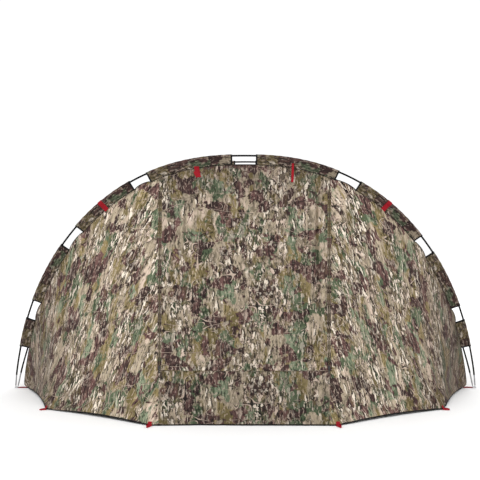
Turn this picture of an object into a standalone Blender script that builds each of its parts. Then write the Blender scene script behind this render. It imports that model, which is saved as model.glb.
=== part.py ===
"""Pole-framed ground blind: two bent pole hoops on shared feet, with a
camouflage shell hung under them.

Metres, +Z up, +X to the right as seen from the front, the door faces -Y.
The origin is on the ground, under the middle of the whole blind.
"""

import math

import bmesh
import bpy
from mathutils import Matrix, Vector

# ---------------------------------------------------------------- dimensions
FOOT_Y = -0.3290          # the line through both feet
AXIS_Z = 0.004            # height of the fold axis above the ground
HOOP_HALF = 1.512         # front hoop, centre line: half width at the feet
HOOP_RISE = 1.563         # front hoop, centre line: height measured in its plane
SPLAY, SPLAY_HIGH = 0.0195, 0.40   # the legs run outwards by this much below this height
HOOP_P, HOOP_Q = 2.33, 1.65   # exponents of the bent pole's curve
NEST = 0.014              # how much smaller the rear hoop is all round
FRONT_LEAN = math.radians(17.0)
REAR_LEAN = math.radians(-15.0)

POLE_R = 0.0055
FERRULE_R = 0.0061
FERRULE_LEN = 0.060
TIP_R = 0.0045
TIP_LEN = 0.088
TIP_START = 0.006

SLEEVE_R = 0.0086         # middle of the sleeve cloth, round the pole
SLEEVE_DEPTH = 0.049      # from the pole's centre to the fin's inner edge
SLEEVE_HALF_GAP = 0.0016
SLEEVE_CLOTH = 0.0014
SEAM_DEPTH = 0.055        # from the pole's centre to the shell's seam line

CLOTH = 0.002
EDGE_GAP = 0.004          # cloth panels stop this far short of their seam line
HEM_Z = 0.0045

DOOR_ARCH_X = 0.566       # centre strip: half width where it meets the arch
DOOR_PEG_X = 0.516        # centre strip: half width at the inner pegs
ZIP_SHARE = 0.90          # the zips, as a share of the centre strip's half width
SILL_TOP = 0.280
DOOR_TOP = 1.285
ZIP_WIDTH = 0.012
ZIP_THICK = 0.003
DOOR_HEM_HIGH = 0.028

INNER_PEG = (0.516, -0.940)
OUTER_PEG = (1.170, -0.580)
CORNER_X = 1.436
PEG_SHARE, PEG_ARCH = 0.36, 0.66   # front panels: where the outer peg's line starts
REAR_DEPTH = 1.640
REAR_PEG_ANGLES = (38.0, 72.0, 108.0, 142.0)

LOOP_LEN, LOOP_WIDE, LOOP_BAND, LOOP_THICK = 0.052, 0.028, 0.007, 0.0025
STRAP_WIDE, STRAP_THICK = 0.020, 0.002

# Where the sleeves leave the pole bare, as shares of half the hoop: 0 at the top,
# -1 at the left foot, 1 at the right foot.
FRONT_GAPS = ((-0.784, -0.730), (-0.550, -0.487), (-0.300, -0.253),
              (-0.031, 0.028),
              (0.242, 0.302), (0.521, 0.575), (0.748, 0.790))
REAR_GAPS = ((-0.031, 0.028), (-0.300, -0.250), (-0.600, -0.550),
             (0.250, 0.300), (0.550, 0.600))
SLEEVE_END = 0.872        # share of the half hoop where the lowest sleeve ends
FRONT_JOINTS = (-0.580, -0.190, 0.190, 0.612)   # pole joints, hidden in the sleeves
REAR_JOINTS = (-0.350, 0.400)

# ---------------------------------------------------------------- clean start
for old in list(bpy.data.objects):
    bpy.data.objects.remove(old, do_unlink=True)

blind = bpy.data.collections.new("ground_blind")
bpy.context.scene.collection.children.link(blind)


# ---------------------------------------------------------------- materials
def material(name, colour, roughness, metallic=0.0):
    made = bpy.data.materials.new(name)
    made.use_nodes = True
    shader = made.node_tree.nodes["Principled BSDF"]
    shader.inputs["Base Color"].default_value = (*colour, 1.0)
    shader.inputs["Roughness"].default_value = roughness
    shader.inputs["Metallic"].default_value = metallic
    made.diffuse_color = (*colour, 1.0)
    return made


POLE_MAT = ("black pole", (0.02, 0.02, 0.022), 0.4, 0.0)
STEEL_MAT = ("tip metal", (0.62, 0.62, 0.64), 0.35, 1.0)
CAMO_MAT = ("camouflage cloth", (0.20, 0.18, 0.12), 0.85, 0.0)
SLEEVE_MAT = ("sleeve cloth", (0.16, 0.145, 0.10), 0.85, 0.0)
RED_MAT = ("red webbing", (0.42, 0.03, 0.05), 0.75, 0.0)
ZIP_MAT = ("zip tape", (0.07, 0.07, 0.05), 0.6, 0.0)
METAL_MAT = ("slider metal", (0.10, 0.10, 0.10), 0.4, 0.8)


def finish(obj, name, look, parent=None, smooth=False):
    obj.name = name
    obj.data.name = name
    obj.data.materials.clear()
    obj.data.materials.append(material(name + " " + look[0], *look[1:]))
    for home in list(obj.users_collection):
        home.objects.unlink(obj)
    blind.objects.link(obj)
    if smooth and obj.type == "MESH":
        obj.data.shade_smooth()
        obj.data.set_sharp_from_angle(angle=math.radians(40))
    if parent is not None:
        obj.parent = parent
        obj.matrix_parent_inverse = parent.matrix_world.inverted()
    return obj


def pivot(name, place):
    empty = bpy.data.objects.new(name, None)
    empty.location = place
    blind.objects.link(empty)
    bpy.context.view_layer.update()
    return empty


# ---------------------------------------------------------------- hoop curves
def arc_table(half, rise, inset, count=1600):
    """Points (u, v, along) of a bent pole's centre line in its own plane, from
    its left foot to its right foot, moved inwards by inset."""
    raw = []
    for i in range(count + 1):
        t = math.pi * i / count
        c, s = math.cos(t), math.sin(t)
        v = rise * abs(s) ** (2 / HOOP_Q)
        leg = SPLAY * max(0.0, 1 - v / SPLAY_HIGH) ** 2
        u = -math.copysign((half - SPLAY) * abs(c) ** (2 / HOOP_P) + leg, c)
        raw.append((u, v))
    moved = []
    for i, (u, v) in enumerate(raw):
        a, b = raw[max(i - 1, 0)], raw[min(i + 1, count)]
        du, dv = b[0] - a[0], b[1] - a[1]
        size = math.hypot(du, dv)
        moved.append((u + inset * dv / size, v - inset * du / size))
    kept = [p for p in moved if p[1] >= -1e-9]
    along, table = 0.0, []
    for i, p in enumerate(kept):
        if i:
            along += math.hypot(p[0] - kept[i - 1][0], p[1] - kept[i - 1][1])
        table.append((p[0], p[1], along))
    return table


def look_up(table, along):
    low, high = 0, len(table) - 1
    while high - low > 1:
        middle = (low + high) // 2
        if table[middle][2] <= along:
            low = middle
        else:
            high = middle
    a, b = table[low], table[high]
    f = (along - a[2]) / (b[2] - a[2])
    return a[0] + f * (b[0] - a[0]), a[1] + f * (b[1] - a[1])


class Hoop:
    def __init__(self, half, rise, lean, inset=0.0):
        self.table = arc_table(half, rise, inset)
        self.length = self.table[-1][2]
        self.up = Vector((0, -math.sin(lean), math.cos(lean)))
        self.normal = Vector((0, -math.cos(lean), -math.sin(lean)))  # to the front

    def place(self, u, v):
        return Vector((u, FOOT_Y, AXIS_Z)) + self.up * v

    def at(self, along):
        return self.place(*look_up(self.table, along))

    def share(self, s):
        """s runs from -1 at the left foot, over 0 at the top, to 1."""
        return self.at(self.length * (s + 1) / 2)

    def frame(self, along):
        """(point, along direction, inwards direction)"""
        step = 0.004
        a = self.at(max(along - step, 0))
        b = self.at(min(along + step, self.length))
        run = (b - a).normalized()
        inward = run.cross(self.normal).normalized()
        if inward.dot(Vector((0, FOOT_Y, 0.6)) - self.at(along)) < 0:
            inward.negate()
        return self.at(along), run, inward

    def by_x(self, x):
        """The point of the upper arch over this x."""
        low, high = 0.12 * self.length, 0.88 * self.length
        for _ in range(50):
            middle = (low + high) / 2
            if look_up(self.table, middle)[0] < x:
                low = middle
            else:
                high = middle
        return self.at((low + high) / 2)


front_hoop = Hoop(HOOP_HALF, HOOP_RISE, FRONT_LEAN)
rear_hoop = Hoop(HOOP_HALF - NEST, HOOP_RISE - NEST, REAR_LEAN)
front_seam = Hoop(HOOP_HALF, HOOP_RISE, FRONT_LEAN, SEAM_DEPTH)
rear_seam = Hoop(HOOP_HALF - NEST, HOOP_RISE - NEST, REAR_LEAN, SEAM_DEPTH)

hinge = pivot("fold_axis", (0, FOOT_Y, AXIS_Z))


# ---------------------------------------------------------------- poles
def pole_run(name, hoop, start, end, radius, look, parent, collar=False, taper=None):
    """A stretch of a bent pole as a bevelled curve; collar thickens its last
    FERRULE_LEN, taper is the radius that it starts with."""
    steps = max(2, round((end - start) / 0.07))
    stops = [(start + (end - start) * i / steps, radius) for i in range(steps + 1)]
    if collar:
        edge = end - FERRULE_LEN
        stops = [s for s in stops if s[0] < edge - 0.004]
        stops += [(edge, radius), (edge + 0.001, FERRULE_R), (end, FERRULE_R)]
    if taper:
        stops = [(start, taper), (start + 0.010, radius), (end, radius)]
    curve = bpy.data.curves.new(name, "CURVE")
    curve.dimensions = "3D"
    curve.bevel_depth = radius
    curve.bevel_resolution = 2
    curve.use_fill_caps = True
    line = curve.splines.new("POLY")
    line.points.add(len(stops) - 1)
    for point, (along, r) in zip(line.points, stops):
        point.co = (*hoop.at(along), 1.0)
        point.radius = r / radius
    obj = bpy.data.objects.new(name, curve)
    blind.objects.link(obj)
    finish(obj, name, look, parent)


def poles(prefix, hoop, names, joints, parent):
    """Sections end inside sleeves, so that no joint shows in a gap."""
    first = TIP_START + TIP_LEN
    stops = [first] + [hoop.length * (s + 1) / 2 for s in joints] + [hoop.length - first]
    for i, part in enumerate(names):
        pole_run(f"{prefix}_pole_{part}", hoop, stops[i] + 0.0003 * (i > 0),
                 stops[i + 1], POLE_R, POLE_MAT, parent, collar=i < len(names) - 1)
    pole_run(f"{prefix}_pole_tip_left", hoop, TIP_START, first - 0.0003, TIP_R,
             STEEL_MAT, parent, taper=0.0025)
    flipped = Hoop.__new__(Hoop)
    flipped.__dict__.update(hoop.__dict__)
    flipped.table = [(-u, v, s) for u, v, s in hoop.table]
    pole_run(f"{prefix}_pole_tip_right", flipped, TIP_START, first - 0.0003, TIP_R,
             STEEL_MAT, parent, taper=0.0025)


poles("front", front_hoop,
      ("left_lower", "left_upper", "crown", "right_upper", "right_lower"),
      FRONT_JOINTS, None)
poles("rear", rear_hoop, ("left", "crown", "right"), REAR_JOINTS, hinge)


# ---------------------------------------------------------------- open sheets
def sheet(name, rows, thickness, look, parent=None, smooth=True):
    """A cloth piece: a grid of points with Solidify. rows is a list of equally
    long lists of points; its thickness is centred on the grid."""
    bm = bmesh.new()
    grid = [[bm.verts.new(p) for p in row] for row in rows]
    for lower, upper in zip(grid, grid[1:]):
        for i in range(len(lower) - 1):
            bm.faces.new((lower[i], lower[i + 1], upper[i + 1], upper[i]))
    bmesh.ops.recalc_face_normals(bm, faces=bm.faces)
    mesh = bpy.data.meshes.new(name)
    bm.to_mesh(mesh)
    bm.free()
    obj = bpy.data.objects.new(name, mesh)
    blind.objects.link(obj)
    solid = obj.modifiers.new("cloth", "SOLIDIFY")
    solid.thickness = thickness
    solid.offset = 0.0
    solid.use_even_offset = False
    finish(obj, name, look, parent, smooth)
    return obj


# ---------------------------------------------------------------- sleeves
def sleeve(name, hoop, start, end, parent):
    """Cloth folded over the pole: in along one side of the fin, round the pole
    and back out along the other side."""
    steps = max(3, round((end - start) / 0.08))
    rows = []
    turn = math.asin(SLEEVE_HALF_GAP / SLEEVE_R)
    for i in range(steps + 1):
        middle, run, inward = hoop.frame(start + (end - start) * i / steps)
        side = run.cross(inward).normalized()
        row = [middle + inward * SLEEVE_DEPTH + side * SLEEVE_HALF_GAP]
        for k in range(7):
            angle = turn + (2 * math.pi - 2 * turn) * k / 6
            row.append(middle + inward * (math.cos(angle) * SLEEVE_R)
                       + side * (math.sin(angle) * SLEEVE_R))
        row.append(middle + inward * SLEEVE_DEPTH - side * SLEEVE_HALF_GAP)
        rows.append(row)
    sheet(name, rows, SLEEVE_CLOTH, SLEEVE_MAT, parent)


def sleeves(prefix, hoop, gaps, parent):
    gaps = sorted(gaps)
    edges = [-SLEEVE_END] + [x for gap in gaps for x in gap] + [SLEEVE_END]
    runs = list(zip(edges[::2], edges[1::2]))
    for i, (a, b) in enumerate(runs):
        half = len(runs) // 2
        side, number = ("left", i + 1) if i < half else ("right", len(runs) - i)
        sleeve(f"{prefix}_sleeve_{side}_{number}", hoop,
               hoop.length * (a + 1) / 2, hoop.length * (b + 1) / 2, parent)


sleeves("front", front_hoop, FRONT_GAPS, None)
sleeves("rear", rear_hoop, REAR_GAPS, hinge)


# ---------------------------------------------------------------- shell shape
def blend_table(keys, x):
    for (x0, y0), (x1, y1) in zip(keys, keys[1:]):
        if x <= x1:
            return y0 + (y1 - y0) * (x - x0) / (x1 - x0)
    return keys[-1][1]


def share_of_x(hoop, x):
    target = hoop.by_x(x)
    low, high = 0.0, 1.0
    for _ in range(50):
        middle = (low + high) / 2
        if hoop.share(middle).x < target.x:
            low = middle
        else:
            high = middle
    return (low + high) / 2


ARCH_SHARE = share_of_x(front_seam, DOOR_ARCH_X)


def seam_point(a):
    """Front seam; a is 0 at the middle, PEG_SHARE at the door strip's edge."""
    side = math.copysign(1, a)
    a = abs(a)
    if a <= PEG_SHARE:
        return front_seam.by_x(side * DOOR_ARCH_X * a / PEG_SHARE)
    s = blend_table(((PEG_SHARE, ARCH_SHARE), (0.72, PEG_ARCH), (1.0, 1.0)), a)
    return front_seam.share(side * s)


def hem_point(a):
    side = math.copysign(1, a)
    a = abs(a)
    if a <= PEG_SHARE:
        x, y, rise = DOOR_PEG_X * a / PEG_SHARE, INNER_PEG[1], 0.0
    elif a <= 0.72:
        f = (a - PEG_SHARE) / (0.72 - PEG_SHARE)
        x = INNER_PEG[0] + f * (OUTER_PEG[0] - INNER_PEG[0])
        y = INNER_PEG[1] + f * (OUTER_PEG[1] - INNER_PEG[1])
        rise = 4 * f * (1 - f)
        y += 0.020 * rise
    else:
        f = (a - 0.72) / 0.28
        x = OUTER_PEG[0] + f * (CORNER_X - OUTER_PEG[0])
        y = OUTER_PEG[1] * (1 - f)
        rise = 4 * f * (1 - f)
        x -= 0.0 * rise
        y += 0.035 * rise
    return Vector((side * x, FOOT_Y + y, HEM_Z + 0.010 * rise))


def front_wall(a, b):
    """b is 0 at the seam and 1 at the hem. The wall stops EDGE_GAP short of
    its seam line."""
    top, low = seam_point(a), hem_point(a)
    run = low - top
    reach = max(run.length, 1e-6)
    return top + run * min(1.0, (EDGE_GAP / reach) + b * (1 - EDGE_GAP / reach))


def front_wall_at_z(a, z):
    top, low = seam_point(a), hem_point(a)
    return top + (low - top) * ((top.z - z) / (top.z - low.z))


def rear_hem(a):
    """The rear hem is a half ellipse; a is 0 at its middle and 1 at a corner."""
    angle = math.radians(90) * (1 - a)
    return Vector((CORNER_X * math.cos(angle), FOOT_Y + REAR_DEPTH * math.sin(angle),
                   HEM_Z))


def rear_wall(a, b):
    top, low = rear_seam.share(a), rear_hem(a)
    run = low - top
    reach = max(run.length, 1e-6)
    return top + run * min(1.0, (EDGE_GAP / reach) + b * (1 - EDGE_GAP / reach))


def roof(a, b):
    front, back = front_seam.share(a), rear_seam.share(a)
    run = back - front
    reach = run.length
    inset = EDGE_GAP / reach
    return front + run * (inset + b * (1 - 2 * inset))


def grid(surface, a_list, b_list):
    return [[surface(a, b) for a in a_list] for b in b_list]


def spread(low, high, count):
    return [low + (high - low) * i / count for i in range(count + 1)]


# ---------------------------------------------------------------- front wall
zip_a = PEG_SHARE * ZIP_SHARE
unit = DOOR_PEG_X / PEG_SHARE            # metres of x for one unit of a
door_edge = zip_a - (ZIP_WIDTH / 2 + 0.0020) / unit
panel_edge = zip_a + (ZIP_WIDTH / 2 + 0.0020) / unit


def side_panel(side):
    """The front wall from the zip to the corner. Below the sill line and above
    the door it also meets the sill and the header at panel_edge."""
    columns = [panel_edge, PEG_SHARE, 0.45, 0.54, 0.63, 0.72, 0.80, 0.88, 0.94, 0.985]
    rows = grid(front_wall, [side * a for a in columns], spread(0.0, 1.0, 5))
    sheet("front_left_panel" if side < 0 else "front_right_panel", rows, CLOTH, CAMO_MAT)


side_panel(-1)
side_panel(1)

door_columns = spread(-door_edge, door_edge, 8)
wide_columns = spread(-panel_edge + 0.0030 / unit, panel_edge - 0.0030 / unit, 8)
sheet("door_header",
      [[front_wall(a, 0.0) for a in wide_columns],
       [front_wall_at_z(a, DOOR_TOP + 0.002) for a in wide_columns]], CLOTH, CAMO_MAT)
sheet("door_panel",
      [[front_wall_at_z(a, z) for a in door_columns]
       for z in spread(SILL_TOP + DOOR_HEM_HIGH + 0.006, DOOR_TOP - 0.002, 4)],
      CLOTH, CAMO_MAT)
sheet("door_sill",
      [[front_wall_at_z(a, SILL_TOP - 0.002) for a in wide_columns],
       [front_wall(a, 1.0) for a in wide_columns]], CLOTH, CAMO_MAT)
sheet("door_hem",
      [[front_wall_at_z(a, z) for a in door_columns]
       for z in (SILL_TOP + 0.003, SILL_TOP + DOOR_HEM_HIGH)],
      0.004, ZIP_MAT)

# ---------------------------------------------------------------- zips
lean_out = (front_wall_at_z(0, 0.3) - front_wall_at_z(0, 1.2)).normalized()
outward = Vector((0, lean_out.z, -lean_out.y)).normalized()
if outward.y > 0:
    outward.negate()


def box(name, middle, size, axes, look, parent=None, bevel=0.0):
    """A block with its sides along the three axes given."""
    bpy.ops.mesh.primitive_cube_add(size=1.0)
    obj = bpy.context.active_object
    for vertex in obj.data.vertices:
        vertex.co = Vector(vertex.co[i] * size[i] for i in range(3))
    turn = Matrix([list(axis) for axis in axes]).transposed()
    obj.matrix_world = Matrix.Translation(middle) @ turn.to_4x4()
    bpy.context.view_layer.update()
    if bevel:
        edge = obj.modifiers.new("edges", "BEVEL")
        edge.width = bevel
        edge.segments = 1
    finish(obj, name, look, parent)
    return obj


for side, word in ((-1, "left"), (1, "right")):
    low = front_wall_at_z(side * zip_a, SILL_TOP + 0.003)
    high = front_wall_at_z(side * zip_a, DOOR_TOP - 0.003)
    run = (high - low).normalized()
    face = (outward - run * outward.dot(run)).normalized()
    across = run.cross(face).normalized()
    axes = (across, face, run)
    box(f"{word}_zip_track", (low + high) / 2,
        (ZIP_WIDTH, ZIP_THICK, (high - low).length), axes, ZIP_MAT)
    rest = low + run * 0.018 + face * (ZIP_THICK / 2 + 0.0005 + 0.0035)
    rail = pivot(f"{word}_zip_slide", rest)
    box(f"{word}_zip_slider", rest, (0.011, 0.007, 0.018), axes, METAL_MAT, rail, 0.0015)
    tab_top = rest + run * 0.004 + face * (0.0035 + 0.0010 + 0.0012)
    swing = pivot(f"{word}_pull_axis", tab_top)
    swing.parent = rail
    swing.matrix_parent_inverse = rail.matrix_world.inverted()
    bpy.context.view_layer.update()
    box(f"{word}_zip_pull", tab_top - run * 0.019, (0.007, 0.0020, 0.038), axes,
        METAL_MAT, swing, 0.0006)

# ---------------------------------------------------------------- roof
sheet("roof_left_panel", grid(roof, spread(-0.955, -0.304, 8), spread(0, 1, 2)),
      CLOTH, CAMO_MAT)
sheet("roof_centre_panel", grid(roof, spread(-0.300, 0.300, 6), spread(0, 1, 2)),
      CLOTH, CAMO_MAT)
sheet("roof_right_panel", grid(roof, spread(0.304, 0.955, 8), spread(0, 1, 2)),
      CLOTH, CAMO_MAT)


# ---------------------------------------------------------------- rear wall
def mirrored(surface):
    def point(a, b):
        found = surface(abs(a), b)
        return Vector((math.copysign(1, a) * abs(found.x), found.y, found.z))
    return point


back = mirrored(rear_wall)
sheet("rear_left_panel", grid(back, spread(-0.975, -0.304, 8), spread(0, 1, 4)),
      CLOTH, CAMO_MAT, hinge)
sheet("rear_centre_panel", grid(back, spread(-0.300, 0.300, 6), spread(0, 1, 4)),
      CLOTH, CAMO_MAT, hinge)
sheet("rear_right_panel", grid(back, spread(0.304, 0.975, 8), spread(0, 1, 4)),
      CLOTH, CAMO_MAT, hinge)


# ---------------------------------------------------------------- peg loops
def peg_loop(name, place, outwards, parent=None):
    """A flat teardrop ring of webbing on the ground: its long way points out
    of the blind, and a peg goes down through its hole."""
    curve = bpy.data.curves.new(name, "CURVE")
    curve.dimensions = "2D"
    curve.fill_mode = "BOTH"
    curve.extrude = LOOP_THICK / 2
    for inset in (0.0, LOOP_BAND):
        count = 12
        line = curve.splines.new("POLY")
        line.points.add(count - 1)
        half_long, half_wide = LOOP_LEN / 2 - inset, LOOP_WIDE / 2 - inset
        for i, point in enumerate(line.points):
            t = 2 * math.pi * i / count
            pinch = 1.0 - 0.25 * (1 - math.cos(t)) / 2
            point.co = (half_long * math.cos(t), half_wide * math.sin(t) * pinch, 0, 1)
        line.use_cyclic_u = True
    obj = bpy.data.objects.new(name, curve)
    blind.objects.link(obj)
    away = Vector((outwards[0], outwards[1], 0)).normalized()
    obj.location = Vector((place[0], place[1], LOOP_THICK / 2)) + away * (LOOP_LEN / 2 - 0.008)
    obj.rotation_euler = (0, 0, math.atan2(away.y, away.x))
    bpy.context.view_layer.update()
    finish(obj, name, RED_MAT, parent)


for side, word in ((-1, "left"), (1, "right")):
    peg_loop(f"front_{word}_inner_peg_loop",
             (side * INNER_PEG[0], FOOT_Y + INNER_PEG[1]), (side * 0.25, -1.0))
    peg_loop(f"front_{word}_outer_peg_loop",
             (side * OUTER_PEG[0], FOOT_Y + OUTER_PEG[1]), (side * 1.0, -0.55))
for angle in REAR_PEG_ANGLES:
    t = math.radians(angle)
    place = (CORNER_X * math.cos(t), FOOT_Y + REAR_DEPTH * math.sin(t))
    away = (math.cos(t) / CORNER_X, math.sin(t) / REAR_DEPTH)
    side = "right" if angle < 90 else "left"
    which = "outer" if abs(angle - 90) > 30 else "inner"
    peg_loop(f"rear_{side}_{which}_peg_loop", place, away, hinge)

# ---------------------------------------------------------------- feet
for side, word in ((-1, "left"), (1, "right")):
    inner, outer = CORNER_X - 0.010, HOOP_HALF - 0.004
    box(f"{word}_foot_strap", (side * (inner + outer) / 2, FOOT_Y, STRAP_THICK / 2),
        (outer - inner, STRAP_WIDE, STRAP_THICK),
        (Vector((1, 0, 0)), Vector((0, 1, 0)), Vector((0, 0, 1))), RED_MAT)
    bpy.ops.mesh.primitive_cylinder_add(vertices=16, radius=0.016, depth=0.003)
    ring = bpy.context.active_object
    ring.location = (side * (HOOP_HALF - 0.007), FOOT_Y, STRAP_THICK + 0.0003 + 0.0015)
    bpy.ops.mesh.primitive_cylinder_add(vertices=16, radius=0.010, depth=0.02)
    core = bpy.context.active_object
    core.location = ring.location
    core.name = f"{word}_ring_cutter"
    cut = ring.modifiers.new("hole", "BOOLEAN")
    cut.operation = "DIFFERENCE"
    cut.solver = "EXACT"
    cut.object = core
    finish(ring, f"{word}_foot_ring", STEEL_MAT)
    cutters = bpy.data.collections.get("cutters") or bpy.data.collections.new("cutters")
    if "cutters" not in bpy.context.scene.collection.children:
        bpy.context.scene.collection.children.link(cutters)
    for home in list(core.users_collection):
        home.objects.unlink(core)
    cutters.objects.link(core)
    core.hide_render = True
    core.display_type = "WIRE"

# ---------------------------------------------------------------- red tabs
for side, word in ((-1, "left"), (1, "right")):
    # the pair that hangs in front of the header, to tie the rolled door up
    a = side * PEG_SHARE * 0.285 / DOOR_ARCH_X
    top = front_wall(a, 0.0)
    low = front_wall_at_z(a, top.z - 0.09)
    run = (top - low).normalized()
    across = Vector((1, 0, 0))
    across = (across - run * across.dot(run)).normalized()
    face = across.cross(run).normalized()
    if face.y > 0:
        face.negate()
    box(f"door_tie_{word}", (top + low) / 2 + face * (CLOTH / 2 + 0.0012 + 0.0008),
        (0.014, 0.0020, (top - low).length), (across, face, run), RED_MAT, None)
    # the pair that crosses the sleeve fins, outside the door strip
    middle, run, inward = front_hoop.frame(
        front_hoop.length * (0.5 + side * 0.1975))
    face = front_hoop.normal
    box(f"sleeve_tab_{word}",
        middle + inward * 0.031 + face * (SLEEVE_HALF_GAP + SLEEVE_CLOTH + 0.0016),
        (0.034, 0.0016, 0.030), (run, face, inward), RED_MAT, None)
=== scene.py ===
"""Looks of the pole-framed ground blind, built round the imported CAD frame."""

import math

import bmesh
import bpy
import numpy as np
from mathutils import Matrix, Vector


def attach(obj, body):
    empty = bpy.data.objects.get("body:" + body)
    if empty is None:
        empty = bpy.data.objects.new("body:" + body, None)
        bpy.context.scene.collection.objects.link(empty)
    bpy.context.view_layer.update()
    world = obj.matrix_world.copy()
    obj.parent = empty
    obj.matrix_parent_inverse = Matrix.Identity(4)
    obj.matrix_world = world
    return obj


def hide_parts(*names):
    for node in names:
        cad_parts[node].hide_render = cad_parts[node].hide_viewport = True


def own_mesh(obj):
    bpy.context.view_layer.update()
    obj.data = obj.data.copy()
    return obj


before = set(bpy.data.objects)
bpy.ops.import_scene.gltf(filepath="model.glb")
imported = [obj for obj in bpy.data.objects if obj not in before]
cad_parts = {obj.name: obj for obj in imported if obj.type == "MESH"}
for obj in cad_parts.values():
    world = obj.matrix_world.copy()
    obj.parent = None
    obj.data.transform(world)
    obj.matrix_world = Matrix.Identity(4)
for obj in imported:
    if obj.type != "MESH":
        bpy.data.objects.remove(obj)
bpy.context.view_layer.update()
scene = bpy.context.scene

# ------------------------------------------------------------------ the CAD's dimensions
FOOT_Y, AXIS_Z = -0.3290, 0.004
HOOP_HALF, HOOP_RISE, HOOP_P, HOOP_Q, NEST = 1.512, 1.563, 2.33, 1.65, 0.014
SPLAY, SPLAY_HIGH = 0.0195, 0.40
FRONT_LEAN, REAR_LEAN = math.radians(17.0), math.radians(-15.0)
POLE_R, FERRULE_R, FERRULE_LEN = 0.0055, 0.0061, 0.060
TIP_R, TIP_LEN, TIP_START = 0.0045, 0.088, 0.006
SLEEVE_R, SEAM_DEPTH = 0.0084, 0.055
DOOR_ARCH_X, DOOR_PEG_X, ZIP_SHARE = 0.566, 0.516, 0.90
SILL_TOP, DOOR_TOP, DOOR_HEM_HIGH = 0.280, 1.285, 0.028
ZIP_WIDTH = 0.012
INNER_PEG, OUTER_PEG, CORNER_X = (0.516, -0.940), (1.170, -0.580), 1.436
PEG_SHARE, PEG_ARCH, REAR_DEPTH, HEM_Z = 0.36, 0.66, 1.640, 0.0045
REAR_PEG_ANGLES = (38.0, 72.0, 108.0, 142.0)
FRONT_GAPS = ((-0.784, -0.730), (-0.550, -0.487), (-0.300, -0.253), (-0.031, 0.028),
              (0.242, 0.302), (0.521, 0.575), (0.748, 0.790))
REAR_GAPS = ((-0.600, -0.550), (-0.300, -0.250), (-0.031, 0.028),
             (0.250, 0.300), (0.550, 0.600))
SLEEVE_END = 0.872
FRONT_JOINTS = (-0.580, -0.190, 0.190, 0.612)
REAR_JOINTS = (-0.350, 0.400)
FOLD_LIMIT = 28.5
INSIDE = np.array((0.0, FOOT_Y, 0.45))


# ------------------------------------------------------------------ small numeric tools
def unit(v):
    v = np.asarray(v, float)
    return v / np.maximum(np.linalg.norm(v, axis=-1, keepdims=True), 1e-12)


class Noise2:
    """Smooth lattice noise in two dimensions, about -1 to 1, the same each run."""

    def __init__(self, seed):
        self.grid = np.random.default_rng(seed).uniform(-1, 1, (128, 128))

    def __call__(self, x, y):
        x, y = np.asarray(x, float), np.asarray(y, float)
        xi, yi = np.floor(x).astype(int), np.floor(y).astype(int)
        fx, fy = x - xi, y - yi
        fx, fy = fx * fx * (3 - 2 * fx), fy * fy * (3 - 2 * fy)
        g = lambda i, j: self.grid[i % 128, j % 128]
        low = g(xi, yi) * (1 - fx) + g(xi + 1, yi) * fx
        high = g(xi, yi + 1) * (1 - fx) + g(xi + 1, yi + 1) * fx
        return low * (1 - fy) + high * fy


def smooth(x, low, high):
    t = np.clip((np.asarray(x, float) - low) / (high - low), 0, 1)
    return t * t * (3 - 2 * t)


# ------------------------------------------------------------------ hoops and shell surfaces
class Hoop:
    def __init__(self, half, rise, lean, inset=0.0, count=3000):
        t = np.pi * np.arange(count + 1) / count
        c, s = np.cos(t), np.sin(t)
        v = rise * np.abs(s) ** (2 / HOOP_Q)
        leg = SPLAY * np.maximum(0, 1 - v / SPLAY_HIGH) ** 2
        raw = np.stack((-np.sign(c) * ((half - SPLAY) * np.abs(c) ** (2 / HOOP_P) + leg), v), 1)
        d = np.empty_like(raw)
        d[1:-1], d[0], d[-1] = raw[2:] - raw[:-2], raw[1] - raw[0], raw[-1] - raw[-2]
        d = unit(d)
        moved = raw + inset * np.stack((d[:, 1], -d[:, 0]), 1)
        moved = moved[moved[:, 1] >= -1e-9]
        self.u, self.v = moved[:, 0], moved[:, 1]
        step = np.hypot(np.diff(self.u), np.diff(self.v))
        self.along = np.concatenate(([0], np.cumsum(step)))
        self.straight_u = self.u.copy()
        self.length = float(self.along[-1])
        self.up = np.array((0, -math.sin(lean), math.cos(lean)))
        self.normal = np.array((0, -math.cos(lean), -math.sin(lean)))

    def at(self, along):
        along = np.asarray(along, float)
        u, v = np.interp(along, self.along, self.u), np.interp(along, self.along, self.v)
        p = v[..., None] * self.up + np.array((0, FOOT_Y, AXIS_Z))
        p[..., 0] += u
        return p

    def share(self, s):
        return self.at(self.length * (np.asarray(s, float) + 1) / 2)

    def by_x(self, x):
        return np.interp(x, self.straight_u, self.along)

    def bow(self, hoop, gaps, amount):
        """Lets the seam rise towards the pole between the sleeves."""
        d = unit(np.gradient(np.stack((self.u, self.v), 1), axis=0))
        out = np.zeros(len(self.u))
        for low, high in gaps:
            middle, _, inward = hoop.frame(hoop.length * (np.array((low, high)) + 1) / 2)
            ends = self.by_x((middle + inward * SEAM_DEPTH)[:, 0])
            t = np.clip((self.along - ends[0]) / (ends[1] - ends[0]), 0, 1)
            out += amount * np.sin(np.pi * t) ** 0.5
        self.u, self.v = self.u - out * d[:, 1], self.v + out * d[:, 0]

    def frame(self, along):
        """points, run and inward directions at these distances along the hoop"""
        along = np.asarray(along, float)
        a, b = self.at(np.maximum(along - 0.004, 0)), self.at(np.minimum(along + 0.004, self.length))
        run = unit(b - a)
        inward = unit(np.cross(run, self.normal))
        middle = self.at(along)
        flip = ((np.array((0, FOOT_Y, 0.6)) - middle) * inward).sum(-1) < 0
        inward[flip] *= -1
        return middle, run, inward


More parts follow.
